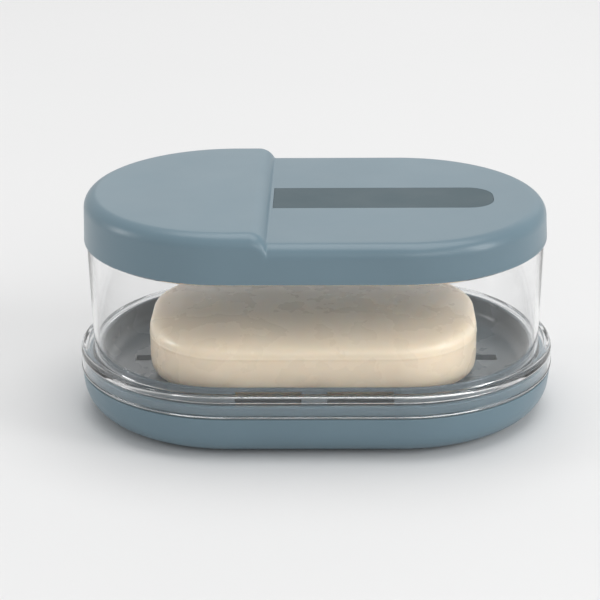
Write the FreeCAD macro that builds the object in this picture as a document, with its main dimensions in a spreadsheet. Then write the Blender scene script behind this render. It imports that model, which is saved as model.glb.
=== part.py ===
import FreeCAD, Part
import os
import re
import Sketcher

# Travel soap box: a stadium-shaped base that catches water, a drain tray that carries the bar,
# a clear cover with a stepped flange, and a lid with a stepped top.
# X runs along the box, Y to its back, Z up. The origin is on the floor, under the middle of the box.

doc = FreeCAD.newDocument("travel_soap_box")
sheet = doc.addObject("Spreadsheet::Sheet", "Sizes")

# Driving dimensions in millimetres.
SIZES = {
    # Whole box
    "overall_length": 135.0,
    "overall_width": 87.8,
    "clearance": 0.3,
    "snug": 0.1,
    "overrun": 5.0,
    # Base
    "foot_height": 0.8,
    "base_height": 12.0,
    "base_inset": 0.2,
    "base_lean": 0.35,
    "base_edge_radius": 9.0,
    "base_floor": 2.5,
    "base_rim_ledge": 1.5,
    "tongue_height": 3.2,
    "tongue_wall": 1.6,
    # Foot pads
    "pad_radius": 5.0,
    "pad_recess": 0.6,
    "pad_spread_x": 36.0,
    "pad_spread_y": 20.0,
    # Clear cover
    "flange_height": 6.3,
    "bead_height": 0.7,
    "bead_proud": 0.15,
    "rim_rounding": 1.25,
    "wall_inset": 3.95,
    "shoulder_width": 1.65,
    "shoulder_depth": 1.0,
    "wall_height": 30.9,
    "wall_lean": 0.85,
    "wall_thickness": 1.2,
    "wall_gain": 0.3,
    "neck_root": 0.7,
    "neck_height": 6.0,
    "neck_step": 1.1,
    "neck_wall": 1.1,
    "base_seal_height": 0.5,
    # Lid
    "lid_gap": 0.3,
    "lid_overhang": 0.7,
    "lid_height": 10.5,
    "lid_step": 3.0,
    "lid_lean": 0.3,
    "lid_edge_radius": 4.1,
    "step_extra_radius": 0.9,
    "step_foot_radius": 0.6,
    "step_place": 12.0,
    "lid_ceiling": 2.0,
    "spigot_wall": 1.4,
    "spigot_reach": 3.5,
    # Label strip
    "label_half_width": 8.8,
    "label_reach": 49.9,
    "label_corner": 7.0,
    "label_gap": 0.5,
    "label_depth": 0.6,
    # Drain tray
    "tray_plate": 1.6,
    "tray_wall": 1.2,
    "tray_depth": 7.0,
    "tray_fillet": 3.5,
    "tray_leg_radius": 3.0,
    "leg_spread_x": 44.0,
    "leg_spread_y": 21.0,
    "slot_width": 3.8,
    "slot_pitch": 8.5,
    "slot_web": 5.0,
    "middle_slot_reach": 52.0,
    "slot_reach": 40.0,
    "window_web": 7.0,
    "window_length": 18.0,
    "window_height": 5.1,
    "window_sill": 0.9,
    # Bar of soap
    "soap_length": 91.8,
    "soap_height": 20.3,
    "soap_front_gap": 2.95,
    "soap_back_gap": 14.95,
    "soap_end_flat": 5.1,
    "soap_edge": 6.0,
    "soap_leftward": 0.6,
}

for row, (alias, size) in enumerate(SIZES.items(), start=1):
    sheet.set(f"A{row}", alias)
    sheet.set(f"B{row}", str(size))
    sheet.setAlias(f"B{row}", alias)
doc.recompute()


# Places that several pieces share, written in the sizes above.
# Radii are those of the rounded ends, which are also half widths across Y.
HALF_STRAIGHT = "(overall_length - overall_width) / 2"
FLANGE_R = "overall_width / 2"
BASE_R = f"({FLANGE_R} - base_inset)"
TONGUE_OUT = f"({BASE_R} - base_rim_ledge)"
TONGUE_IN = f"({TONGUE_OUT} - tongue_wall)"
SEAM = "(foot_height + base_height)"
TONGUE_TOP = f"({SEAM} + tongue_height)"
SUMP_FLOOR = "(foot_height + base_floor)"
FLANGE_FOOT = f"({SEAM} + base_seal_height)"
RIM_TOP = f"({FLANGE_FOOT} + flange_height)"
WALL_FOOT_R = f"({FLANGE_R} - wall_inset)"
WALL_TOP_R = f"({WALL_FOOT_R} + wall_lean)"
SHOULDER = f"({RIM_TOP} + wall_height)"
NECK_R = f"({WALL_TOP_R} - neck_step)"
NECK_TOP = f"({SHOULDER} + neck_height)"
INNER_FOOT_R = f"({WALL_FOOT_R} - wall_thickness)"
INNER_TOP_R = f"({WALL_TOP_R} - wall_thickness - wall_gain)"
NECK_IN = f"({NECK_R} - neck_wall)"
LID_FOOT = f"({SHOULDER} + lid_gap)"
LID_R = f"({WALL_TOP_R} + lid_overhang)"
LOW_TOP = f"({LID_FOOT} + lid_height)"
HIGH_TOP = f"({LOW_TOP} + lid_step)"
CEILING = f"({LOW_TOP} - lid_ceiling)"
SPIGOT_OUT = f"({NECK_IN} - clearance)"
SPIGOT_IN = f"({SPIGOT_OUT} - spigot_wall)"
SKIRT_IN = f"({NECK_R} + clearance)"
TRAY_TOP = f"({FLANGE_FOOT} - clearance)"
TRAY_BOTTOM = f"({TRAY_TOP} - tray_plate)"
TRAY_R = f"({TONGUE_IN} - clearance)"
TRAY_WALL_OUT = f"({INNER_FOOT_R} - clearance)"
TRAY_WALL_IN = f"({TRAY_WALL_OUT} - tray_wall)"


def linked(expression):
    """The expression with each size name pointing at its cell in the sheet."""
    return re.sub(r"[a-z_]+", lambda word: "Sizes." + word[0] if word[0] in SIZES else word[0], expression)


def value(expression):
    """The number that an expression of sizes comes to."""
    return float(sheet.evalExpression(linked(expression)))


def bind(target, prop, expression):
    """Tie a property to an expression of sizes."""
    target.setExpression(prop, linked(expression))


def new_body(name):
    body = doc.addObject("PartDesign::Body", name)
    body.Label = name
    return body


def origin_plane(body, role):
    return next(item for item in body.Origin.OriginFeatures if item.Role == role)


def sketch_on(body, name, role, along_x="0", along_y="0", along_z="0"):
    """A sketch on one of the body's own origin planes, shifted along its own axes and its normal."""
    sketch = body.newObject("Sketcher::SketchObject", name)
    sketch.AttachmentSupport = [(origin_plane(body, role), "")]
    sketch.MapMode = "FlatFace"
    bind(sketch, "AttachmentOffset.Base.x", along_x)
    bind(sketch, "AttachmentOffset.Base.y", along_y)
    bind(sketch, "AttachmentOffset.Base.z", along_z)
    return sketch


def fix_coordinate(sketch, geometry, point, axis, expression):
    """Hold one coordinate of a point at an expression of sizes."""
    place = value(expression)
    other_axis = {"DistanceX": -2, "DistanceY": -1}[axis]
    if expression == "0":
        sketch.addConstraint(Sketcher.Constraint("PointOnObject", geometry, point, other_axis))
        return
    if place < 0:
        ends = (geometry, point, -1, 1)
        expression = f"-({expression})"
    else:
        ends = (-1, 1, geometry, point)
    index = sketch.addConstraint(Sketcher.Constraint(axis, *ends, abs(place)))
    bind(sketch, f"Constraints[{index}]", expression)


def outline(sketch, corners):
    """Draw a closed outline. A corner is (x, y), followed by a straight run, or
    (x, y, centre x, centre y, turn), followed by an arc about that centre, turning left or right."""
    points = [FreeCAD.Vector(value(corner[0]), value(corner[1]), 0) for corner in corners]
    edges = []
    for index, corner in enumerate(corners):
        start = points[index]
        end = points[(index + 1) % len(points)]
        if len(corner) == 2:
            geometry = sketch.addGeometry(Part.LineSegment(start, end))
            edges.append((geometry, 1, 2))
            continue
        centre = FreeCAD.Vector(value(corner[2]), value(corner[3]), 0)
        circle = Part.Circle(centre, FreeCAD.Vector(0, 0, 1), (start - centre).Length)
        turns_left = corner[4] == "left"
        first, last = (start, end) if turns_left else (end, start)
        arc = Part.ArcOfCircle(circle, circle.parameter(first), circle.parameter(last))
        geometry = sketch.addGeometry(arc)
        edges.append((geometry, 1, 2) if turns_left else (geometry, 2, 1))
    for index, corner in enumerate(corners):
        geometry, start, end = edges[index]
        follower, follower_start, _ = edges[(index + 1) % len(edges)]
        sketch.addConstraint(Sketcher.Constraint("Coincident", geometry, end, follower, follower_start))
        fix_coordinate(sketch, geometry, start, "DistanceX", corner[0])
        fix_coordinate(sketch, geometry, start, "DistanceY", corner[1])
        if len(corner) > 2:
            chord = points[(index + 1) % len(points)] - points[index]
            upright = abs(chord.y) >= abs(chord.x)
            axis, place = ("DistanceX", corner[2]) if upright else ("DistanceY", corner[3])
            fix_coordinate(sketch, geometry, 3, axis, place)


def rectangle(sketch, left, right, low, high):
    outline(sketch, [(left, low), (right, low), (right, high), (left, high)])


def pad(body, name, sketch, length, symmetric=False):
    feature = body.newObject("PartDesign::Pad", name)
    feature.Profile = sketch
    bind(feature, "Length", length)
    feature.SideType = "Symmetric" if symmetric else "One side"
    doc.recompute()
    return feature


def pocket(body, name, sketch, length, symmetric=False, upwards=False):
    """Cut a sketch out of the body, and make sure that it took something away."""
    before = body.Shape.Volume
    feature = body.newObject("PartDesign::Pocket", name)
    feature.Profile = sketch
    bind(feature, "Length", length)
    feature.SideType = "Symmetric" if symmetric else "One side"
    feature.Reversed = upwards
    doc.recompute()
    if body.Shape.Volume >= before:
        raise RuntimeError(f"{body.Label}: {name} cuts nothing")
    return feature


def stadium_form(body, section):
    """A section carried round the stadium: turned through half a circle at each end and run straight
    between. The section is written as (radius, height) and either is a ring or starts and ends at
    radius 0."""
    end_sketch = sketch_on(body, f"{body.Name}_end_section", "XZ_Plane", along_x=HALF_STRAIGHT)
    outline(end_sketch, section)
    end = body.newObject("PartDesign::Revolution", f"{body.Name}_end")
    end.Profile = end_sketch
    end.ReferenceAxis = (end_sketch, ["V_Axis"])
    end.Angle = 180
    end.Midplane = True
    doc.recompute()

    middle_sketch = sketch_on(body, f"{body.Name}_middle_section", "YZ_Plane")
    far_side = far_section(section)
    if section[0][0] == "0":
        outline(middle_sketch, section[:-1] + far_side)
    else:
        outline(middle_sketch, section)
        outline(middle_sketch, far_side)
    pad(body, f"{body.Name}_middle", middle_sketch, f"2 * ({HALF_STRAIGHT})", symmetric=True)

    other_end = body.newObject("PartDesign::Mirrored", f"{body.Name}_other_end")
    other_end.Originals = [end]
    other_end.MirrorPlane = (origin_plane(body, "YZ_Plane"), [""])
    body.Tip = other_end
    doc.recompute()


def flipped(expression):
    return "0" if expression == "0" else f"-({expression})"


def far_section(section):
    """The section mirrored to the other side of Y, with its corners in the opposite order. A section that
    starts and ends at radius 0 leaves out its first corner, which the near side already has."""
    first = 1 if section[0][0] == "0" else 0
    mirrored = []
    for index in range(len(section) - 1, first - 1, -1):
        radius, height = section[index][:2]
        before = section[index - 1]
        arc = (flipped(before[2]), *before[3:]) if len(before) > 2 else ()
        mirrored.append((flipped(radius), height, *arc))
    return mirrored


def stadium_distance(point):
    """How far a point lies from the line between the centres of the rounded ends, in plan."""
    beyond = max(abs(point.x) - value(HALF_STRAIGHT), 0)
    return FreeCAD.Vector(beyond, point.y, 0).Length


def edges_where(shape, test):
    """Names of the edges whose middle point passes a test."""
    names = []
    for number, edge in enumerate(shape.Edges, start=1):
        middle = edge.valueAt((edge.FirstParameter + edge.LastParameter) / 2)
        if test(middle):
            names.append(f"Edge{number}")
    return names


def fillet(body, name, test, radius):
    """Round the edges of the body whose middle point passes a test."""
    base = body.Tip
    names = edges_where(base.Shape, test)
    feature = body.newObject("PartDesign::Fillet", name)
    feature.Base = (base, names)
    bind(feature, "Radius", radius)
    doc.recompute()
    return feature


def spread(x_expression, y_expression):
    """The four places mirrored about both middle planes."""
    return [(f"{sx}({x_expression})", f"{sy}({y_expression})") for sx in ("", "-") for sy in ("", "-")]


def circles(sketch, places, radius):
    """One circle at each place."""
    for x_expression, y_expression in places:
        centre = FreeCAD.Vector(value(x_expression), value(y_expression), 0)
        geometry = sketch.addGeometry(Part.Circle(centre, FreeCAD.Vector(0, 0, 1), value(radius)))
        fix_coordinate(sketch, geometry, 3, "DistanceX", x_expression)
        fix_coordinate(sketch, geometry, 3, "DistanceY", y_expression)
        index = sketch.addConstraint(Sketcher.Constraint("Radius", geometry, value(radius)))
        bind(sketch, f"Constraints[{index}]", radius)


def make_base_tray():
    """Bottom shell: drafted side, large rounded bottom edge inside and out, and a tongue round the rim."""
    side_r = f"({BASE_R} - base_lean)"
    corner_r = f"({side_r} - base_edge_radius)"
    corner_z = "(foot_height + base_edge_radius)"
    inner_radius = f"({TONGUE_IN} - {corner_r})"
    body = new_body("base_tray")
    stadium_form(body, [
        ("0", "foot_height"),
        (corner_r, "foot_height", corner_r, corner_z, "left"),
        (side_r, corner_z),
        (BASE_R, SEAM),
        (TONGUE_OUT, SEAM),
        (TONGUE_OUT, TONGUE_TOP),
        (TONGUE_IN, TONGUE_TOP),
        (TONGUE_IN, f"{SUMP_FLOOR} + {inner_radius}", corner_r, f"{SUMP_FLOOR} + {inner_radius}", "right"),
        (corner_r, SUMP_FLOOR),
        ("0", SUMP_FLOOR),
    ])
    recess = sketch_on(body, "pad_recesses", "XY_Plane", along_z="foot_height")
    circles(recess, spread("pad_spread_x", "pad_spread_y"), "pad_radius + snug")
    pocket(body, "pad_recess", recess, "pad_recess", upwards=True)
    return body


def make_foot_pads():
    """Four soft discs in the recesses under the base."""
    discs = []
    for number, (x_expression, y_expression) in enumerate(spread("pad_spread_x", "pad_spread_y"), start=1):
        disc = doc.addObject("Part::Cylinder", f"pad_{number}")
        bind(disc, "Radius", "pad_radius")
        bind(disc, "Height", "foot_height + pad_recess")
        bind(disc, "Placement.Base.x", x_expression)
        bind(disc, "Placement.Base.y", y_expression)
        discs.append(disc)
    pads = doc.addObject("Part::Compound", "foot_pads")
    pads.Label = "foot_pads"
    pads.Links = discs
    return pads


def make_drain_tray():
    """Plate on four legs, with an upstanding wall that has windows, and slots in the floor."""
    crown = f"({TRAY_TOP} + tray_depth - tray_wall / 2)"
    crown_r = f"({TRAY_WALL_IN} + tray_wall / 2)"
    body = new_body("drain_tray")
    stadium_form(body, [
        ("0", TRAY_BOTTOM),
        (TRAY_R, TRAY_BOTTOM),
        (TRAY_R, TRAY_TOP),
        (TRAY_WALL_OUT, TRAY_TOP),
        (TRAY_WALL_OUT, crown, crown_r, crown, "left"),
        (TRAY_WALL_IN, crown),
        (TRAY_WALL_IN, f"{TRAY_TOP} + tray_fillet",
         f"{TRAY_WALL_IN} - tray_fillet", f"{TRAY_TOP} + tray_fillet", "right"),
        (f"{TRAY_WALL_IN} - tray_fillet", TRAY_TOP),
        ("0", TRAY_TOP),
    ])
    legs = sketch_on(body, "leg_circles", "XY_Plane", along_z=SUMP_FLOOR)
    circles(legs, spread("leg_spread_x", "leg_spread_y"), "tray_leg_radius")
    pad(body, "legs", legs, f"{TRAY_BOTTOM} - {SUMP_FLOOR}")

    slots = sketch_on(body, "slot_outlines", "XY_Plane", along_z=TRAY_TOP)
    for step in (-2, -1, 0, 1, 2):
        reach = "slot_reach" if step else "middle_slot_reach"
        low = f"{step} * slot_pitch - slot_width / 2"
        high = f"{step} * slot_pitch + slot_width / 2"
        rectangle(slots, "slot_web / 2", reach, low, high)
        rectangle(slots, f"-({reach})", "-(slot_web / 2)", low, high)
    pocket(body, "drain_slots", slots, "tray_plate + overrun")

    windows = sketch_on(body, "window_outlines", "XZ_Plane")
    sill = f"{TRAY_TOP} + window_sill"
    head = f"{sill} + window_height"
    rectangle(windows, "window_web / 2", "window_web / 2 + window_length", sill, head)
    rectangle(windows, "-(window_web / 2 + window_length)", "-(window_web / 2)", sill, head)
    pocket(body, "drain_windows", windows, "overall_width", symmetric=True)
    return body


def make_clear_cover():
    """Thin clear wall that leans out a little, with a hollow stepped flange at its foot, which goes over the
    base's tongue, and a neck at its top, which goes up inside the lid."""
    hollow_r = f"({TONGUE_OUT} + clearance)"
    rim_r = f"({FLANGE_R} - bead_proud)"
    ring_edge = f"({WALL_FOOT_R} + shoulder_width)"
    shoulder_floor = f"({RIM_TOP} - shoulder_depth)"
    hollow_top = f"({shoulder_floor} - wall_thickness)"
    body = new_body("clear_cover")
    stadium_form(body, [
        (hollow_r, FLANGE_FOOT),
        (FLANGE_R, FLANGE_FOOT),
        (FLANGE_R, f"{FLANGE_FOOT} + bead_height"),
        (rim_r, f"{FLANGE_FOOT} + bead_height + bead_proud"),
        (rim_r, f"{RIM_TOP} - rim_rounding",
         f"{rim_r} - rim_rounding", f"{RIM_TOP} - rim_rounding", "left"),
        (f"{rim_r} - rim_rounding", RIM_TOP),
        (ring_edge, RIM_TOP),
        (ring_edge, shoulder_floor),
        (WALL_FOOT_R, shoulder_floor),
        (WALL_TOP_R, SHOULDER),
        (NECK_R, SHOULDER),
        (NECK_R, NECK_TOP),
        (NECK_IN, NECK_TOP),
        (NECK_IN, SHOULDER),
        (INNER_TOP_R, f"{SHOULDER} - neck_root"),
        (INNER_FOOT_R, hollow_top),
        (hollow_r, hollow_top),
    ])
    return body


def make_ring(name, inner, outer, low, high):
    """A soft ring of rectangular section."""
    body = new_body(name)
    stadium_form(body, [(inner, low), (outer, low), (outer, high), (inner, high)])
    return body


def make_lid_cap():
    """Lid moulding: skirt, inner spigot and a top in two levels joined by a smooth step."""
    body = new_body("lid_cap")
    stadium_form(body, [
        ("0", CEILING),
        (SPIGOT_IN, CEILING),
        (SPIGOT_IN, f"{CEILING} - spigot_reach"),
        (SPIGOT_OUT, f"{CEILING} - spigot_reach"),
        (SPIGOT_OUT, CEILING),
        (SKIRT_IN, CEILING),
        (SKIRT_IN, LID_FOOT),
        (LID_R, LID_FOOT),
        (f"{LID_R} - lid_lean", HIGH_TOP),
        ("0", HIGH_TOP),
    ])
    crest_radius = "(lid_edge_radius + step_extra_radius)"
    both_radii = f"({crest_radius} + step_foot_radius)"
    turn_cosine = f"(1 - lid_step / {both_radii})"
    turn_sine = f"sqrt(1 - {turn_cosine} * {turn_cosine})"
    crest_x = f"(-step_place - {both_radii} * {turn_sine})"
    bend_x = f"({crest_x} + {crest_radius} * {turn_sine})"
    bend_z = f"({HIGH_TOP} - {crest_radius} * (1 - {turn_cosine}))"
    step = sketch_on(body, "step_outline", "XZ_Plane")
    outline(step, [
        (crest_x, HIGH_TOP, crest_x, f"{HIGH_TOP} - {crest_radius}", "right"),
        (bend_x, bend_z, "-step_place", f"{LOW_TOP} + step_foot_radius", "left"),
        ("-step_place", LOW_TOP),
        ("overall_length", LOW_TOP),
        ("overall_length", f"{HIGH_TOP} + overrun"),
        (crest_x, f"{HIGH_TOP} + overrun"),
    ])
    pocket(body, "top_step", step, "2 * overall_width", symmetric=True)

    low_top = value(LOW_TOP)
    wall_r = value(f"{LID_R} - lid_lean - snug")
    fillet(
        body,
        "top_edge",
        lambda point: point.z > low_top - value("snug") and stadium_distance(point) > wall_r,
        "lid_edge_radius",
    )

    high_room_r = f"({SPIGOT_IN} - lid_edge_radius)"
    high_room_x = f"({crest_x} - lid_ceiling)"
    high_room = sketch_on(body, "high_room_outline", "XY_Plane", along_z=CEILING)
    outline(high_room, [
        (high_room_x, high_room_r),
        (f"-({HALF_STRAIGHT})", high_room_r, f"-({HALF_STRAIGHT})", "0", "left"),
        (f"-({HALF_STRAIGHT})", f"-({high_room_r})"),
        (high_room_x, f"-({high_room_r})"),
    ])
    pocket(body, "high_room", high_room, "lid_step", upwards=True)

    recess = sketch_on(body, "label_recess_outline", "XY_Plane", along_z=LOW_TOP)
    label_outline(recess, "snug")
    pocket(body, "label_recess", recess, "label_depth")
    return body


def label_outline(sketch, margin):
    """Strip with a square end at the step and a blunt round end, grown by a margin."""
    half_width = f"(label_half_width + {margin})"
    left = f"(-step_place + label_gap - {margin})"
    right = f"(label_reach + {margin})"
    turn_x = "(label_reach - label_corner)"
    turn_y = "(label_half_width - label_corner)"
    outline(sketch, [
        (left, f"-{half_width}"),
        (turn_x, f"-{half_width}", turn_x, f"-{turn_y}", "left"),
        (right, f"-{turn_y}"),
        (right, turn_y, turn_x, turn_y, "left"),
        (turn_x, half_width),
        (left, half_width),
    ])


def make_label_strip():
    """Thin inlay that fills the recess flush."""
    body = new_body("label_strip")
    strip = sketch_on(body, "strip_outline", "XY_Plane", along_z=f"{LOW_TOP} - label_depth")
    label_outline(strip, "0")
    pad(body, "strip", strip, "label_depth")
    return body


def make_soap_bar():
    """Pillow-shaped bar, nearer to the front of the tray's wall than to its back: a rounded rectangle with
    rounded edges."""
    half_x = "(soap_length / 2)"
    half_y = f"({TRAY_WALL_IN} - (soap_front_gap + soap_back_gap) / 2)"
    forward = "(soap_back_gap - soap_front_gap) / 2"
    turn_x = f"({half_x} - {half_y} + soap_end_flat)"
    turn_y = "soap_end_flat"
    body = new_body("soap_bar")
    plan = sketch_on(body, "soap_plan", "XY_Plane", "-soap_leftward", f"-({forward})", TRAY_TOP)
    outline(plan, [
        (f"-{turn_x}", f"-{half_y}"),
        (turn_x, f"-{half_y}", turn_x, f"-{turn_y}", "left"),
        (half_x, f"-{turn_y}"),
        (half_x, turn_y, turn_x, turn_y, "left"),
        (turn_x, half_y),
        (f"-{turn_x}", half_y, f"-{turn_x}", turn_y, "left"),
        (f"-{half_x}", turn_y),
        (f"-{half_x}", f"-{turn_y}", f"-{turn_x}", f"-{turn_y}", "left"),
    ])
    pad(body, "soap_block", plan, "soap_height")
    low = value(TRAY_TOP)
    high = value(f"{TRAY_TOP} + soap_height")
    reach = value("snug")

    def at_rim(point):
        return min(abs(point.z - low), abs(point.z - high)) < reach

    fillet(body, "soap_edges", at_rim, "soap_edge")
    return body


pieces = [
    make_base_tray(),
    make_foot_pads(),
    make_drain_tray(),
    make_soap_bar(),
    make_clear_cover(),
    make_ring("base_seal", f"{TONGUE_OUT} + snug", f"{BASE_R} - base_inset", SEAM, FLANGE_FOOT),
    make_lid_cap(),
    make_ring("lid_seal", f"{SPIGOT_OUT} + snug", f"{SKIRT_IN} - snug", NECK_TOP, CEILING),
    make_label_strip(),
]
doc.recompute()

for item in doc.Objects:
    if "Invalid" in item.State or "Error" in item.State:
        raise RuntimeError(f"{item.Label} failed: {item.State}")
for piece in pieces:
    if piece.Shape.isNull() or not piece.Shape.isValid():
        raise RuntimeError(f"{piece.Label} has no valid shape")

os.makedirs("parts", exist_ok=True)
for piece in pieces:
    piece.Shape.exportStep(f"parts/{piece.Label}.step")
    print(piece.Label, len(piece.Shape.Solids), "solids", round(piece.Shape.Volume / 1000, 2), "cm3")
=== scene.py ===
import math
import bpy
import numpy as np
from mathutils import Matrix, Vector


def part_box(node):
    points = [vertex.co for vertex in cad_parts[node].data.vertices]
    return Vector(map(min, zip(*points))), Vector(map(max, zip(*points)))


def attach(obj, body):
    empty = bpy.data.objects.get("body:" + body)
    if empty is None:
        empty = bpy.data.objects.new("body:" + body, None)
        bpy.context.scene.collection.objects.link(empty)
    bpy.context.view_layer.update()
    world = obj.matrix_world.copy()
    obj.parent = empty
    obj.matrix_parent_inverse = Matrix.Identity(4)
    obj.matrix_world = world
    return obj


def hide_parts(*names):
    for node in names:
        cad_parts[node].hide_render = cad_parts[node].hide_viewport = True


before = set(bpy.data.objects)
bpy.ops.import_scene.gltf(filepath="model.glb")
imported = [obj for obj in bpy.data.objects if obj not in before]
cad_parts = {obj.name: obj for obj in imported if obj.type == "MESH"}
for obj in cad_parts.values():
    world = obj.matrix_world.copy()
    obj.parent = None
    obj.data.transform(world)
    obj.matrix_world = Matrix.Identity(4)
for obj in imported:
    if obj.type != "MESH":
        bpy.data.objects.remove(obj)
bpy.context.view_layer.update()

MM = 0.001

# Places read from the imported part, in metres.
base_low, base_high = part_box("base_tray")
tray_low, tray_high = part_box("drain_tray")
soap_low, soap_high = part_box("soap_bar")
cover_low, cover_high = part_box("clear_cover")
ring_low, ring_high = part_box("base_seal")
gasket_low, gasket_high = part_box("lid_seal")
lid_low, lid_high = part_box("lid_cap")
label_low, label_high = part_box("label_strip")

FLANGE_R = cover_high.y
HALF_STRAIGHT = cover_high.x - FLANGE_R
BASE_R = base_high.y
LID_R = lid_high.y
SEAM = ring_low.z
FLANGE_FOOT = cover_low.z
NECK_TOP = cover_high.z
LOW_TOP = label_high.z
HIGH_TOP = lid_high.z
LID_FOOT = lid_low.z
CLEARANCE = 0.3 * MM
SNUG = 0.1 * MM
CRISP = 0.1 * MM
ARC_STEPS = 72
STRAIGHT_STEPS = 12


def rounded_profile(corners, closed, steps=5):
    """Polyline through (radius, height, rounding) corners, with each corner replaced by an arc of its
    rounding: the arc's centre lies on the corner's bisector, and its ends are the tangent points."""
    points = np.array([corner[:2] for corner in corners])
    count = len(corners)
    line = []
    for index, (_, _, rounding) in enumerate(corners):
        here = points[index]
        at_end = not closed and index in (0, count - 1)
        if at_end or rounding <= 0:
            line.append(here[None, :])
            continue
        back = points[index - 1] - here
        on = points[(index + 1) % count] - here
        back = back / np.linalg.norm(back)
        on = on / np.linalg.norm(on)
        half_angle = math.acos(float(np.clip(back @ on, -1, 1))) / 2
        bisector = (back + on) / np.linalg.norm(back + on)
        centre = here + bisector * rounding / math.sin(half_angle)
        reach = rounding / math.tan(half_angle)
        first = here + back * reach - centre
        last = here + on * reach - centre
        turn = math.atan2(first[0] * last[1] - first[1] * last[0], first @ last)
        angles = np.linspace(0, turn, steps + 1)
        cosines = np.cos(angles)
        sines = np.sin(angles)
        line.append(centre + np.stack([
            first[0] * cosines - first[1] * sines,
            first[0] * sines + first[1] * cosines,
        ], axis=1))
    return np.concatenate(line)


def stadium_path(straight_x):
    """Closed stadium path, anticlockwise from above: for each station the centre's x and the outward
    normal. straight_x lists the stations of the straight sides from right to left."""
    swing = np.linspace(-math.pi / 2, math.pi / 2, ARC_STEPS + 1)
    right = np.stack([np.full(len(swing), HALF_STRAIGHT), np.cos(swing), np.sin(swing)], axis=1)
    left = right * np.array([-1, -1, -1])
    inner_x = straight_x[1:-1]
    back = np.stack([inner_x, np.zeros(len(inner_x)), np.ones(len(inner_x))], axis=1)
    front = np.stack([inner_x[::-1], np.zeros(len(inner_x)), -np.ones(len(inner_x))], axis=1)
    return np.concatenate([right, back, left, front])


def even_path():
    """Stadium path with evenly spaced stations along its straight sides."""
    return stadium_path(np.linspace(HALF_STRAIGHT, -HALF_STRAIGHT, STRAIGHT_STEPS + 1))


def carried(path, profile):
    """Vertices of a profile of (radius, height) carried round a path: x = centre + radius * nx,
    y = radius * ny, z = height."""
    radius = profile[None, :, 0]
    height = np.broadcast_to(profile[None, :, 1], (len(path), len(profile)))
    x = path[:, 0:1] + radius * path[:, 1:2]
    y = radius * path[:, 2:3]
    return np.stack([x, y, height], axis=2)


def grid_faces(rows, columns, closed_columns):
    """Quads of a grid that is closed along its rows, and along its columns where asked."""
    row = np.arange(rows)
    column = np.arange(columns if closed_columns else columns - 1)
    i, j = np.meshgrid(row, column, indexing="ij")
    i_next = (i + 1) % rows
    j_next = (j + 1) % columns
    corners = [i * columns + j, i_next * columns + j, i_next * columns + j_next, i * columns + j_next]
    return np.stack(corners, axis=2).reshape(-1, 4)


def new_piece(name, vertices, faces, sharp_degrees=40):
    """A smooth-shaded mesh object at the origin, with edges sharper than an angle kept crisp."""
    mesh = bpy.data.meshes.new(name)
    mesh.from_pydata(vertices.reshape(-1, 3).tolist(), [], [list(map(int, face)) for face in faces])
    mesh.polygons.foreach_set("use_smooth", np.ones(len(mesh.polygons), bool))
    mesh.set_sharp_from_angle(angle=math.radians(sharp_degrees))
    mesh.update()
    piece = bpy.data.objects.new(name, mesh)
    bpy.context.scene.collection.objects.link(piece)
    return piece


def stadium_ring(name, corners, steps=5):
    """A closed section carried round the stadium."""
    profile = rounded_profile(corners, closed=True, steps=steps)
    path = even_path()
    vertices = carried(path, profile)
    return new_piece(name, vertices, grid_faces(len(path), len(profile), True))


def stadium_bowl(name, corners, steps=6):
    """An open section carried round the stadium, with its two flat middles closed."""
    profile = rounded_profile(corners, closed=False, steps=steps)
    path = even_path()
    vertices = carried(path, profile)
    rows, columns = vertices.shape[:2]
    faces = grid_faces(rows, columns, False).tolist()
    faces.append([row * columns for row in reversed(range(rows))])
    faces.append([row * columns + columns - 1 for row in range(rows)])
    return new_piece(name, vertices, faces)


def boxes_cutter(name, boxes):
    """One mesh of plain boxes, each given by its lowest and highest corner, for cutting."""
    corner = np.array([(x, y, z) for x in (0, 1) for y in (0, 1) for z in (0, 1)], float)
    box_faces = np.array([(0, 1, 3, 2), (4, 6, 7, 5), (0, 4, 5, 1), (2, 3, 7, 6), (0, 2, 6, 4), (1, 5, 7, 3)])
    vertices = np.concatenate([
        np.array(low) + corner * (np.array(high) - np.array(low)) for low, high in boxes
    ])
    faces = np.concatenate([box_faces + 8 * index for index in range(len(boxes))])
    return new_piece(name, vertices, faces)


def prism(name, outline, low, high):
    """Upright prism over an anticlockwise outline of (x, y), between two heights."""
    count = len(outline)
    heights = np.repeat([low, high], count)[:, None]
    vertices = np.concatenate([np.concatenate([outline, outline]), heights], axis=1)
    here = np.arange(count)
    following = (here + 1) % count
    faces = np.stack([here, following, following + count, here + count], axis=1).tolist()
    faces.append(here[::-1].tolist())
    faces.append((here + count).tolist())
    return new_piece(name, vertices, faces)


def cut(piece, cutter):
    """Take the cutter out of the piece for good."""
    modifier = piece.modifiers.new("cut", "BOOLEAN")
    modifier.object = cutter
    modifier.solver = "EXACT"
    apply_modifiers(piece)
    bpy.data.objects.remove(cutter)


def apply_modifiers(piece, sharp_degrees=35):
    """Bake the piece's modifiers into its mesh."""
    bpy.context.view_layer.update()
    evaluated = piece.evaluated_get(bpy.context.evaluated_depsgraph_get())
    mesh = bpy.data.meshes.new_from_object(evaluated)
    piece.modifiers.clear()
    piece.data = mesh
    mesh.polygons.foreach_set("use_smooth", np.ones(len(mesh.polygons), bool))
    mesh.set_sharp_from_angle(angle=math.radians(sharp_degrees))


def dress(piece, material, body, node):
    """Finish a piece: its material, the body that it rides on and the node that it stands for."""
    piece.data.materials.clear()
    piece.data.materials.append(material)
    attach(piece, body)
    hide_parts(node)


# Materials

def new_material(name):
    """A material with nodes, and its nodes, links and shader to build on."""
    material = bpy.data.materials.new(name)
    material.use_nodes = True
    nodes = material.node_tree.nodes
    shader = nodes["Principled BSDF"]
    return material, nodes, material.node_tree.links, shader


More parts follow.
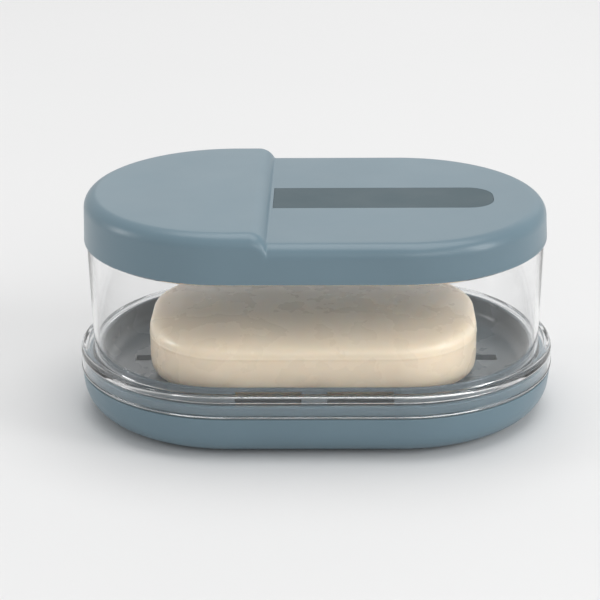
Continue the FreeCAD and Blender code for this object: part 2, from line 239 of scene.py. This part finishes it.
def object_noise(nodes, links, scale, detail=3.0):
    """Noise on Object coordinates, with the scale in cells per metre."""
    place = nodes.new("ShaderNodeTexCoord")
    noise = nodes.new("ShaderNodeTexNoise")
    noise.inputs["Scale"].default_value = scale
    noise.inputs["Detail"].default_value = detail
    noise.inputs["Roughness"].default_value = 0.5
    links.new(place.outputs["Object"], noise.inputs["Vector"])
    return noise


def ramp_between(nodes, links, factor, low, high, low_at=0.3, high_at=0.7):
    """Colour that goes from low to high with the factor."""
    ramp = nodes.new("ShaderNodeValToRGB")
    ramp.color_ramp.elements[0].position = low_at
    ramp.color_ramp.elements[1].position = high_at
    ramp.color_ramp.elements[0].color = (*low, 1)
    ramp.color_ramp.elements[1].color = (*high, 1)
    links.new(factor, ramp.inputs["Fac"])
    return ramp


def map_range(nodes, links, factor, low, high):
    """Number that goes from low to high as the factor goes from 0.3 to 0.7."""
    spread = nodes.new("ShaderNodeMapRange")
    spread.inputs["From Min"].default_value = 0.3
    spread.inputs["From Max"].default_value = 0.7
    spread.inputs["To Min"].default_value = low
    spread.inputs["To Max"].default_value = high
    links.new(factor, spread.inputs["Value"])
    return spread


def fine_bump(nodes, links, shader, height, strength, distance):
    """Relief in the shader's normal from a height that varies over the surface."""
    bump = nodes.new("ShaderNodeBump")
    bump.inputs["Strength"].default_value = strength
    bump.inputs["Distance"].default_value = distance
    links.new(height, bump.inputs["Height"])
    links.new(bump.outputs["Normal"], shader.inputs["Normal"])


COLOUR_SPREAD = 0.04


def moulded_plastic(name, colour, gloss=(0.28, 0.33), specular=0.5):
    """Satin moulded plastic: a colour that drifts a little, uneven gloss and a fine spark-eroded grain."""
    material, nodes, links, shader = new_material(name)
    drift = object_noise(nodes, links, 28.0, detail=2.0)
    darker = tuple(channel * (1 - COLOUR_SPREAD) for channel in colour)
    lighter = tuple(channel * (1 + COLOUR_SPREAD) for channel in colour)
    ramp = ramp_between(nodes, links, drift.outputs["Fac"], darker, lighter)
    links.new(ramp.outputs["Color"], shader.inputs["Base Color"])
    smudge = object_noise(nodes, links, 60.0, detail=4.0)
    rough = map_range(nodes, links, smudge.outputs["Fac"], *gloss)
    links.new(rough.outputs["Result"], shader.inputs["Roughness"])
    grain = object_noise(nodes, links, 2600.0, detail=2.0)
    fine_bump(nodes, links, shader, grain.outputs["Fac"], 0.06, 0.02 * MM)
    shader.inputs["Specular IOR Level"].default_value = specular
    return material


def clear_plastic(name):
    """Polished clear plastic with a faint drift in its gloss. Rays from lamps pass straight through its
    wall, and more dimly through the flange below."""
    material, nodes, links, shader = new_material(name)
    shader.inputs["Base Color"].default_value = (0.998, 0.999, 1.0, 1)
    shader.inputs["Transmission Weight"].default_value = 1.0
    shader.inputs["IOR"].default_value = 1.49
    haze = object_noise(nodes, links, 45.0, detail=3.0)
    rough = map_range(nodes, links, haze.outputs["Fac"], 0.0, 0.02)
    links.new(rough.outputs["Result"], shader.inputs["Roughness"])
    see_through = nodes.new("ShaderNodeBsdfTransparent")
    place = nodes.new("ShaderNodeTexCoord")
    apart = nodes.new("ShaderNodeSeparateXYZ")
    links.new(place.outputs["Object"], apart.inputs["Vector"])
    above = nodes.new("ShaderNodeMapRange")
    above.inputs["From Min"].default_value = RIM_TOP - FLANGE_BLEND
    above.inputs["From Max"].default_value = RIM_TOP + FLANGE_BLEND
    links.new(apart.outputs["Z"], above.inputs["Value"])
    dim = (0.42, 0.44, 0.45)
    clear = (0.97, 0.975, 0.98)
    let_through = ramp_between(nodes, links, above.outputs["Result"], dim, clear, 0, 1)
    links.new(let_through.outputs["Color"], see_through.inputs["Color"])
    path = nodes.new("ShaderNodeLightPath")
    mix = nodes.new("ShaderNodeMixShader")
    links.new(path.outputs["Is Shadow Ray"], mix.inputs["Fac"])
    links.new(shader.outputs["BSDF"], mix.inputs[1])
    links.new(see_through.outputs["BSDF"], mix.inputs[2])
    links.new(mix.outputs["Shader"], nodes["Material Output"].inputs["Surface"])
    return material


def soap_material(name):
    """Cream soap: light passes into it a little, with soft marbled streaks, tiny pits and an uneven gloss."""
    material, nodes, links, shader = new_material(name)
    streak = object_noise(nodes, links, 45.0)
    streak.inputs["Distortion"].default_value = 0.5
    darker = (0.882, 0.738, 0.556)
    lighter = (0.898, 0.754, 0.574)
    ramp = ramp_between(nodes, links, streak.outputs["Fac"], darker, lighter, 0.2, 0.8)
    links.new(ramp.outputs["Color"], shader.inputs["Base Color"])
    shader.inputs["Subsurface Weight"].default_value = 0.6
    shader.inputs["Subsurface Radius"].default_value = (1.0, 0.8, 0.6)
    shader.inputs["Subsurface Scale"].default_value = 6.0 * MM
    wet = object_noise(nodes, links, 120.0, detail=4.0)
    rough = map_range(nodes, links, wet.outputs["Fac"], 0.24, 0.32)
    links.new(rough.outputs["Result"], shader.inputs["Roughness"])
    pits = object_noise(nodes, links, 420.0, detail=3.0)
    fine_bump(nodes, links, shader, pits.outputs["Fac"], 0.04, 0.08 * MM)
    return material


def soft_rubber(name, colour):
    """Dull silicone rubber with a dusty, slightly mottled surface."""
    material, nodes, links, shader = new_material(name)
    dust = object_noise(nodes, links, 180.0, detail=4.0)
    lighter = tuple(channel * 1.25 for channel in colour)
    ramp = ramp_between(nodes, links, dust.outputs["Fac"], colour, lighter)
    links.new(ramp.outputs["Color"], shader.inputs["Base Color"])
    rough = map_range(nodes, links, dust.outputs["Fac"], 0.55, 0.7)
    links.new(rough.outputs["Result"], shader.inputs["Roughness"])
    grain = object_noise(nodes, links, 1800.0)
    fine_bump(nodes, links, shader, grain.outputs["Fac"], 0.2, 0.03 * MM)
    return material


SHELL_COLOUR = (0.14, 0.215, 0.26)
shell_plastic = moulded_plastic("blue_grey_shell_plastic", SHELL_COLOUR)
tray_plastic = moulded_plastic("grey_tray_plastic", (0.10, 0.131, 0.149), gloss=(0.22, 0.32))
LABEL_COLOUR = (0.055, 0.092, 0.108)
label_film = moulded_plastic("dark_slate_label_film", LABEL_COLOUR, gloss=(0.35, 0.45), specular=0.2)
cream_soap = soap_material("cream_soap")
seal_rubber = soft_rubber("grey_seal_silicone", (0.09, 0.115, 0.125))
pad_rubber = soft_rubber("dark_pad_rubber", (0.04, 0.045, 0.05))


# Base: drafted side, large rounded bottom edge and a tongue round the rim.
BASE_EDGE = 9.0 * MM
BASE_LEAN = 0.35 * MM
BASE_FLOOR = 2.5 * MM
TONGUE_OUT = BASE_R - 1.5 * MM
TONGUE_IN = TONGUE_OUT - 1.6 * MM
SUMP_FLOOR = base_low.z + BASE_FLOOR
INNER_EDGE = TONGUE_IN - (BASE_R - BASE_LEAN - BASE_EDGE)
EDGE = 0.25 * MM
CREASE = 0.15 * MM
FLAT_MIDDLE_R = 20 * MM

base_shell = stadium_bowl("base_shell", [
    (FLAT_MIDDLE_R, base_low.z, 0),
    (BASE_R - BASE_LEAN * (SEAM - base_low.z) / (SEAM - base_low.z - BASE_EDGE), base_low.z, BASE_EDGE),
    (BASE_R, SEAM, EDGE),
    (TONGUE_OUT, SEAM, CREASE),
    (TONGUE_OUT, base_high.z, EDGE),
    (TONGUE_IN, base_high.z, EDGE),
    (TONGUE_IN, SUMP_FLOOR, INNER_EDGE),
    (FLAT_MIDDLE_R, SUMP_FLOOR, 0),
], steps=14)
dress(base_shell, shell_plastic, "base", "base_tray")

# Clear cover: thin leaning wall, hollow stepped flange that goes over the tongue, and a neck.
WALL_FOOT_R = FLANGE_R - 3.95 * MM
WALL_TOP_R = WALL_FOOT_R + 0.85 * MM
WALL = 1.2 * MM
WALL_GAIN = 0.3 * MM
RIM_TOP = FLANGE_FOOT + 6.3 * MM
SHOULDER = RIM_TOP + 30.9 * MM
NECK_R = WALL_TOP_R - 1.1 * MM
NECK_IN = NECK_R - 1.1 * MM
BEAD = 0.7 * MM
BEAD_PROUD = 0.15 * MM
RIM_R = FLANGE_R - BEAD_PROUD
RING_EDGE_R = WALL_FOOT_R + 1.65 * MM
SHOULDER_FLOOR = RIM_TOP - 1.0 * MM
HOLLOW_TOP = SHOULDER_FLOOR - WALL
LIP_ROUNDING = 0.3 * MM
RIM_ROUNDING = 1.25 * MM
FLANGE_BLEND = 1.0 * MM
RING_ROUNDING = 0.2 * MM
HOLLOW_ROUNDING = 0.4 * MM
NECK_RAMP_TOP = SHOULDER + 0.5 * MM
NECK_RAMP_FOOT = SHOULDER - 0.1 * MM

clear_wall = clear_plastic("clear_cover_plastic")
clear_cover = stadium_ring("clear_wall_and_flange", [
    (TONGUE_OUT + CLEARANCE, FLANGE_FOOT, EDGE),
    (FLANGE_R, FLANGE_FOOT, LIP_ROUNDING),
    (FLANGE_R, FLANGE_FOOT + BEAD, LIP_ROUNDING),
    (RIM_R, FLANGE_FOOT + BEAD + BEAD_PROUD, CRISP),
    (RIM_R, RIM_TOP, RIM_ROUNDING),
    (RING_EDGE_R, RIM_TOP, RING_ROUNDING),
    (RING_EDGE_R, SHOULDER_FLOOR, CREASE),
    (WALL_FOOT_R, SHOULDER_FLOOR, RING_ROUNDING),
    (WALL_TOP_R, SHOULDER, EDGE),
    (NECK_R, SHOULDER, EDGE),
    (NECK_R, NECK_TOP, EDGE),
    (NECK_IN, NECK_TOP, EDGE),
    (NECK_IN, NECK_RAMP_TOP, CRISP),
    (WALL_TOP_R - WALL - WALL_GAIN, NECK_RAMP_FOOT, CRISP),
    (WALL_FOOT_R - WALL, HOLLOW_TOP, LIP_ROUNDING),
    (TONGUE_OUT + CLEARANCE, HOLLOW_TOP, HOLLOW_ROUNDING),
], steps=6)
dress(clear_cover, clear_wall, "cover", "clear_cover")

base_ring = stadium_ring("base_seal_ring", [
    (TONGUE_OUT + SNUG, ring_low.z, CRISP),
    (ring_high.y, ring_low.z, CRISP),
    (ring_high.y, ring_high.z, CRISP),
    (TONGUE_OUT + SNUG, ring_high.z, CRISP),
])
dress(base_ring, seal_rubber, "cover", "base_seal")

GASKET_IN = NECK_IN - CLEARANCE + SNUG
lid_ring = stadium_ring("lid_seal_ring", [
    (GASKET_IN, gasket_low.z, EDGE),
    (gasket_high.y, gasket_low.z, EDGE),
    (gasket_high.y, gasket_high.z, EDGE),
    (GASKET_IN, gasket_high.z, EDGE),
])
dress(lid_ring, seal_rubber, "lid", "lid_seal")

# Drain tray: plate with an upstanding wall, windows in the wall, slots in the floor and four legs.
TRAY_R = tray_high.y
TRAY_TOP = soap_low.z
TRAY_PLATE = 1.6 * MM
TRAY_WALL = 1.2 * MM
TRAY_WALL_OUT = WALL_FOOT_R - WALL - CLEARANCE
TRAY_WALL_IN = TRAY_WALL_OUT - TRAY_WALL
TRAY_FILLET = 3.5 * MM
TRAY_CREASE = 0.4 * MM
TRAY_RIM_ROUNDING = 0.55 * MM
SLOT_WIDTH = 3.8 * MM
SLOT_PITCH = 8.5 * MM
SLOT_WEB = 5.0 * MM
MIDDLE_REACH = 52.0 * MM
SLOT_REACH = 40.0 * MM
WINDOW_WEB = 7.0 * MM
WINDOW_LENGTH = 18.0 * MM
WINDOW_HEIGHT = 5.1 * MM
WINDOW_SILL = 0.9 * MM
OVERRUN_BELOW = 5.0 * MM
OVERRUN_ABOVE = 1.0 * MM

drain_tray = stadium_bowl("drain_tray_shell", [
    (FLAT_MIDDLE_R, TRAY_TOP - TRAY_PLATE, 0),
    (TRAY_R, TRAY_TOP - TRAY_PLATE, EDGE),
    (TRAY_R, TRAY_TOP, EDGE),
    (TRAY_WALL_OUT, TRAY_TOP, TRAY_CREASE),
    (TRAY_WALL_OUT, tray_high.z, TRAY_RIM_ROUNDING),
    (TRAY_WALL_IN, tray_high.z, TRAY_RIM_ROUNDING),
    (TRAY_WALL_IN, TRAY_TOP, TRAY_FILLET),
    (FLAT_MIDDLE_R, TRAY_TOP, 0),
], steps=8)


def mirrored_x(low_x, high_x, low_yz, high_yz):
    """A box on the right and its mirror image on the left."""
    right = ((low_x, *low_yz), (high_x, *high_yz))
    left = ((-high_x, *low_yz), (-low_x, *high_yz))
    return [right, left]


tray_holes = []
for row in range(-2, 3):
    reach = SLOT_REACH if row else MIDDLE_REACH
    middle_y = row * SLOT_PITCH
    tray_holes += mirrored_x(
        SLOT_WEB / 2, reach,
        (middle_y - SLOT_WIDTH / 2, TRAY_TOP - TRAY_PLATE - OVERRUN_BELOW),
        (middle_y + SLOT_WIDTH / 2, TRAY_TOP + OVERRUN_ABOVE),
    )
window_low = TRAY_TOP + WINDOW_SILL
tray_holes += mirrored_x(
    WINDOW_WEB / 2, WINDOW_WEB / 2 + WINDOW_LENGTH,
    (-FLANGE_R, window_low),
    (FLANGE_R, window_low + WINDOW_HEIGHT),
)
cut(drain_tray, boxes_cutter("tray_cutter", tray_holes))
dress(drain_tray, tray_plastic, "tray", "drain_tray")

LEG_R = 3.0 * MM
LEG_X = 44.0 * MM
LEG_Y = 21.0 * MM
LEG_ROUNDING = 0.5 * MM
LEG_CAP_R = 0.3 * MM


def make_legs():
    """Four round posts from the sump's floor up into the plate: a profile of (radius, height), rounded at its
    foot, turned about each post's axis."""
    turn = np.linspace(0, 2 * math.pi, 49)[:-1]
    profile = rounded_profile([
        (LEG_CAP_R, tray_low.z, 0),
        (LEG_R, tray_low.z, LEG_ROUNDING),
        (LEG_R, TRAY_TOP - TRAY_PLATE / 2, 0),
        (LEG_CAP_R, TRAY_TOP - TRAY_PLATE / 2, 0),
    ], closed=False)
    circle = np.stack([np.cos(turn), np.sin(turn)], axis=1)
    post = np.concatenate([
        profile[None, :, 0:1] * circle[:, None, :],
        np.broadcast_to(profile[None, :, 1:2], (len(turn), len(profile), 1)),
    ], axis=2)
    rows, columns = post.shape[:2]
    post_faces = grid_faces(rows, columns, False).tolist()
    post_faces.append([row * columns for row in reversed(range(rows))])
    post_faces.append([row * columns + columns - 1 for row in range(rows)])
    places = [(x, y, 0) for x in (-LEG_X, LEG_X) for y in (-LEG_Y, LEG_Y)]
    vertices = np.concatenate([(post + np.array(place)).reshape(-1, 3) for place in places])
    faces = [
        [corner + rows * columns * index for corner in face]
        for index in range(len(places)) for face in post_faces
    ]
    return new_piece("tray_legs", vertices, faces)


dress(make_legs(), tray_plastic, "tray", "drain_tray")

# Lid: skirt, spigot and a top in two levels joined by a smooth step.
LID_EDGE = 4.1 * MM
LID_LEAN = 0.3 * MM
STEP = HIGH_TOP - LOW_TOP
CREST_R = LID_EDGE + 0.9 * MM
STEP_FOOT_R = 0.6 * MM
STEP_FOOT_X = -12.0 * MM
STEP_COSINE = 1 - STEP / (CREST_R + STEP_FOOT_R)
STEP_SINE = math.sqrt(1 - STEP_COSINE ** 2)
CREST_X = STEP_FOOT_X - (CREST_R + STEP_FOOT_R) * STEP_SINE
BEND_X = CREST_X + CREST_R * STEP_SINE
CEILING = LOW_TOP - 2.0 * MM
SPIGOT_OUT = NECK_IN - CLEARANCE
SPIGOT_IN = SPIGOT_OUT - 1.4 * MM
SPIGOT_FOOT = CEILING - 3.5 * MM
SKIRT_IN = NECK_R + CLEARANCE
SKIRT_LAND = 1.0 * MM
SKIRT_LAND_LEAN = LID_LEAN * 0.05
STEP_MARGIN = 1.0 * MM
TOP_MIDDLE_R = 0.5 * MM


def step_height(x):
    """Height of the top over its low level: the full step left of the crest, then an arc down from the
    crest, a small arc out at the foot, and nothing beyond."""
    past_crest = np.clip(x - CREST_X, 0, CREST_R)
    on_crest = STEP - CREST_R + np.sqrt(np.maximum(CREST_R ** 2 - past_crest ** 2, 0))
    to_foot = np.clip(STEP_FOOT_X - x, 0, STEP_FOOT_R)
    at_foot = STEP_FOOT_R - np.sqrt(np.maximum(STEP_FOOT_R ** 2 - to_foot ** 2, 0))
    return np.where(x < BEND_X, on_crest, at_foot)


def make_lid():
    """Rings of the stadium from the ceiling, round the spigot and the skirt, up the outer wall and over
    the rounded edge to the middle of the top. The step is added to the heights of the top rings."""
    step_x = np.linspace(CREST_X - STEP_MARGIN, STEP_FOOT_X + STEP_MARGIN, 49)
    straight_x = np.concatenate([
        np.linspace(-HALF_STRAIGHT, step_x[0], 6)[:-1],
        step_x,
        np.linspace(step_x[-1], HALF_STRAIGHT, 22)[1:],
    ])[::-1]
    path = stadium_path(straight_x)
    inside = rounded_profile([
        (FLAT_MIDDLE_R, CEILING, 0),
        (SPIGOT_IN, CEILING, EDGE),
        (SPIGOT_IN, SPIGOT_FOOT, EDGE),
        (SPIGOT_OUT, SPIGOT_FOOT, EDGE),
        (SPIGOT_OUT, CEILING, CRISP),
        (SKIRT_IN, CEILING, EDGE),
        (SKIRT_IN, LID_FOOT, EDGE),
        (LID_R, LID_FOOT, CRISP),
        (LID_R - SKIRT_LAND_LEAN, LID_FOOT + SKIRT_LAND, 0),
    ], closed=False, steps=5)
    wall_share = np.linspace(0.1, 1, 10)
    wall_top = LOW_TOP - LID_EDGE
    wall = np.stack([
        LID_R - LID_LEAN * wall_share,
        LID_FOOT + (wall_top - LID_FOOT) * wall_share,
    ], axis=1)
    swing = np.linspace(0, math.pi / 2, 17)[1:]
    edge = np.stack([
        LID_R - LID_LEAN - LID_EDGE * (1 - np.cos(swing)),
        wall_top + LID_EDGE * np.sin(swing),
    ], axis=1)
    flat_radius = np.linspace(edge[-1, 0], TOP_MIDDLE_R, 24)[1:]
    flat = np.stack([flat_radius, np.full(len(flat_radius), LOW_TOP)], axis=1)
    profile = np.concatenate([inside, wall, edge, flat])
    share = np.concatenate([np.zeros(len(inside)), wall_share, np.ones(len(edge) + len(flat))])
    vertices = carried(path, profile)
    vertices[:, :, 2] += share[None, :] * step_height(vertices[:, :, 0])
    rows, columns = vertices.shape[:2]
    faces = grid_faces(rows, columns, False).tolist()
    faces.append([row * columns for row in reversed(range(rows))])
    last = np.arange(rows) * columns + columns - 1
    arc = ARC_STEPS + 1
    side = len(straight_x) - 2
    back = last[arc - 1:arc + side + 1]
    front = np.concatenate([last[2 * arc + side - 1:], last[:1]])[::-1]
    faces += np.stack([back[:-1], back[1:], front[1:], front[:-1]], axis=1).tolist()
    faces.append(last[:arc].tolist())
    faces.append(last[arc + side:2 * arc + side].tolist())
    return new_piece("stepped_lid", vertices, faces)


def label_outline(margin):
    """The label's outline, wider by a margin: square at the step, blunt and round at the other end."""
    right = label_high.x - LABEL_CORNER
    half_width = label_high.y + margin
    swing = np.linspace(-math.pi / 2, 0, 13)
    corner = LABEL_CORNER + margin
    lower = np.stack([
        right + corner * np.cos(swing),
        LABEL_CORNER - label_high.y + corner * np.sin(swing),
    ], axis=1)
    upper = lower[::-1] * np.array([1, -1])
    left = np.array([(label_low.x - margin, half_width), (label_low.x - margin, -half_width)])
    return np.concatenate([left, lower, upper])


def room_outline():
    """Outline of the room under the raised end: the lid's left end, drawn in to a radius, and square to the
    right."""
    swing = np.linspace(math.pi / 2, 3 * math.pi / 2, 65)
    arc = np.stack([ROOM_R * np.cos(swing) - HALF_STRAIGHT, ROOM_R * np.sin(swing)], axis=1)
    square = np.array([(ROOM_END_X, -ROOM_R), (ROOM_END_X, ROOM_R)])
    return np.concatenate([arc, square])


LABEL_CORNER = 7.0 * MM
LABEL_GAP = 0.1 * MM
ROOM_R = 32.8 * MM
ROOM_END_X = -18.96 * MM
ROOM_OVERLAP = 1.0 * MM
stepped_lid = make_lid()
cut(stepped_lid, prism("label_cutter", label_outline(LABEL_GAP), label_low.z, HIGH_TOP))
cut(stepped_lid, prism("room_cutter", room_outline(), CEILING - ROOM_OVERLAP, CEILING + STEP))
label_inlay = prism("label_inlay", label_outline(0), label_low.z, label_high.z)
dress(label_inlay, label_film, "lid", "label_strip")
dress(stepped_lid, shell_plastic, "lid", "lid_cap")

# Bar of soap: a rounded rectangle swollen into a pillow, with the mould's parting line above its middle.
# Each fullness is along the bar and across it.
SOAP_MIDDLE = (soap_low + soap_high) / 2
SOAP_HALF = (soap_high - soap_low) / 2
PARTING_Z = SOAP_MIDDLE.z + 3.5 * MM
SOAP_CORNER = 23.2 * MM
SOAP_TOP_FULLNESS = (4.0, 2.7)
SOAP_FOOT_FULLNESS = (8.0, 5.0)
PARTING_PROUD = 0.12 * MM
PARTING_HALF_HEIGHT = 0.35 * MM
PARTING_SHARE = 0.12
CAP_SWING = math.radians(88.5)


def width_left(share, fullness):
    """How much of a width is left at a height share v from the parting line: (1 - v^n)^(1/n)."""
    return np.maximum(1 - share ** fullness, 0)[:, None] ** (1 / fullness)


def make_soap():
    """Rings of a rounded rectangle, widest at the parting line, where a low bell-shaped ridge stands out.
    Above and below it the rings shrink to the middle as superellipses, later along the bar than across it."""
    turn = np.linspace(0, 2 * math.pi, 257)[:-1]
    normal = np.stack([np.cos(turn), np.sin(turn)], axis=1)
    sign = np.sign(np.round(normal, 9))
    body_x = sign[:, 0] * (SOAP_HALF.x - SOAP_CORNER)
    body_y = sign[:, 1] * (SOAP_HALF.y - SOAP_CORNER)
    # Close rings round the ridge, and then heights that lie evenly on a superellipse of fullness 3.
    near_line = np.linspace(0, PARTING_SHARE, 10)[:-1]
    swing = np.linspace(math.asin(PARTING_SHARE ** 1.5), CAP_SWING, 48)
    share = np.concatenate([near_line, np.sin(swing) ** (2 / 3)])
    halves = []
    foot_half = (soap_low.z - PARTING_Z, SOAP_FOOT_FULLNESS)
    top_half = (soap_high.z - PARTING_Z, SOAP_TOP_FULLNESS)
    for reach, fullness in (foot_half, top_half):
        rise = reach * share
        ridge = PARTING_PROUD * (np.exp(-(rise / PARTING_HALF_HEIGHT) ** 2) - 1)
        corner = SOAP_CORNER + ridge[:, None]
        x = (body_x + corner * normal[:, 0]) * width_left(share, fullness[0])
        y = (body_y + corner * normal[:, 1]) * width_left(share, fullness[1])
        z = np.broadcast_to(rise[:, None], x.shape)
        half = np.stack([x, y, z], axis=2)
        halves.append(half[::-1] if reach < 0 else half[1:])
    grid = np.concatenate(halves)
    vertices = grid.transpose(1, 0, 2) + np.array((SOAP_MIDDLE.x, SOAP_MIDDLE.y, PARTING_Z))
    rows, columns = vertices.shape[:2]
    faces = grid_faces(rows, columns, False).tolist()
    faces.append([row * columns for row in reversed(range(rows))])
    faces.append([row * columns + columns - 1 for row in range(rows)])
    return new_piece("cream_soap_bar", vertices, faces, sharp_degrees=80)


soap_bar = make_soap()
dress(soap_bar, cream_soap, "soap", "soap_bar")

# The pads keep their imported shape.
foot_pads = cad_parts["foot_pads"]
foot_pads.data.materials.clear()
foot_pads.data.materials.append(pad_rubber)

# Floor, light and camera.
FLOOR_HALF = 3.0
LAMP_AIM = (0, 0, 0.03)
LIGHT_BOUNCES = 32


def make_floor():
    """Plain pale floor with a faint drift in its tone."""
    corners = np.array([(-1, -1, 0), (1, -1, 0), (1, 1, 0), (-1, 1, 0)], float) * FLOOR_HALF
    floor = new_piece("floor", corners, [(0, 1, 2, 3)])
    material, nodes, links, shader = new_material("pale_floor")
    drift = object_noise(nodes, links, 3.0)
    ramp = ramp_between(nodes, links, drift.outputs["Fac"], (0.79, 0.79, 0.79), (0.805, 0.805, 0.805))
    links.new(ramp.outputs["Color"], shader.inputs["Base Color"])
    shader.inputs["Roughness"].default_value = 0.8
    shader.inputs["Specular IOR Level"].default_value = 0.2
    floor.data.materials.append(material)


def make_world(lit, seen):
    """Even soft light all round; what the eye, gloss and clear plastic see of it is the pale backdrop."""
    world = bpy.data.worlds.new("studio")
    bpy.context.scene.world = world
    world.use_nodes = True
    nodes = world.node_tree.nodes
    links = world.node_tree.links
    background = nodes["Background"]
    path = nodes.new("ShaderNodeLightPath")
    first = nodes.new("ShaderNodeMath")
    first.operation = "MAXIMUM"
    second = nodes.new("ShaderNodeMath")
    second.operation = "MAXIMUM"
    links.new(path.outputs["Is Camera Ray"], first.inputs[0])
    links.new(path.outputs["Is Transmission Ray"], first.inputs[1])
    links.new(first.outputs["Value"], second.inputs[0])
    links.new(path.outputs["Is Glossy Ray"], second.inputs[1])
    level = nodes.new("ShaderNodeMapRange")
    level.inputs["To Min"].default_value = lit
    level.inputs["To Max"].default_value = seen
    links.new(second.outputs["Value"], level.inputs["Value"])
    links.new(level.outputs["Result"], background.inputs["Strength"])
    background.inputs["Color"].default_value = (1, 1, 1, 1)


def softbox(name, place, size, watts):
    """Rectangular area lamp at a place, turned to the object."""
    lamp = bpy.data.lights.new(name, "AREA")
    lamp.shape = "RECTANGLE"
    lamp.size, lamp.size_y = size
    lamp.energy = watts
    holder = bpy.data.objects.new(name, lamp)
    bpy.context.scene.collection.objects.link(holder)
    holder.location = place
    holder.rotation_euler = (Vector(LAMP_AIM) - Vector(place)).to_track_quat("-Z", "Y").to_euler()


def make_camera():
    """Camera fitted to the outlines of the lid, flange and base in the picture."""
    lens = 123.17
    distance = 586.76 * MM
    aim = Vector((-4.46, 0, 30.59)) * MM
    elevation = math.radians(21.187)
    azimuth = math.radians(1.221)
    roll = math.radians(-0.566)
    back = Vector((
        math.sin(azimuth) * math.cos(elevation),
        -math.cos(azimuth) * math.cos(elevation),
        math.sin(elevation),
    ))
    right = Vector((math.cos(azimuth), math.sin(azimuth), 0))
    up = back.cross(right)
    rolled_right = math.cos(roll) * right + math.sin(roll) * up
    rolled_up = math.cos(roll) * up - math.sin(roll) * right
    turn = Matrix((rolled_right, rolled_up, back)).transposed().to_4x4()
    data = bpy.data.cameras.new("camera")
    data.sensor_width = 36
    data.lens = lens
    data.clip_start = 0.01
    camera = bpy.data.objects.new("camera", data)
    bpy.context.scene.collection.objects.link(camera)
    camera.matrix_world = Matrix.Translation(aim + back * distance) @ turn
    bpy.context.scene.camera = camera


make_floor()
make_world(lit=0.46, seen=0.65)
softbox("top_softbox", (0.18, 0.25, 2.0), (1.9, 1.5), 21.5)
softbox("front_softbox", (0.8, -1.62, 1.1), (1.3, 0.8), 6.4)
softbox("right_softbox", (1.7, -0.7, 0.85), (0.6, 1.2), 11.5)
softbox("left_softbox", (-1.75, 0.0, 0.45), (0.4, 0.7), 4.5)
softbox("back_softbox", (0.3, 1.9, 0.9), (1.8, 0.9), 2.2)
make_camera()
bpy.context.scene.view_settings.view_transform = "Standard"
bpy.context.scene.cycles.max_bounces = LIGHT_BOUNCES
bpy.context.scene.cycles.glossy_bounces = LIGHT_BOUNCES
bpy.context.scene.cycles.transmission_bounces = LIGHT_BOUNCES
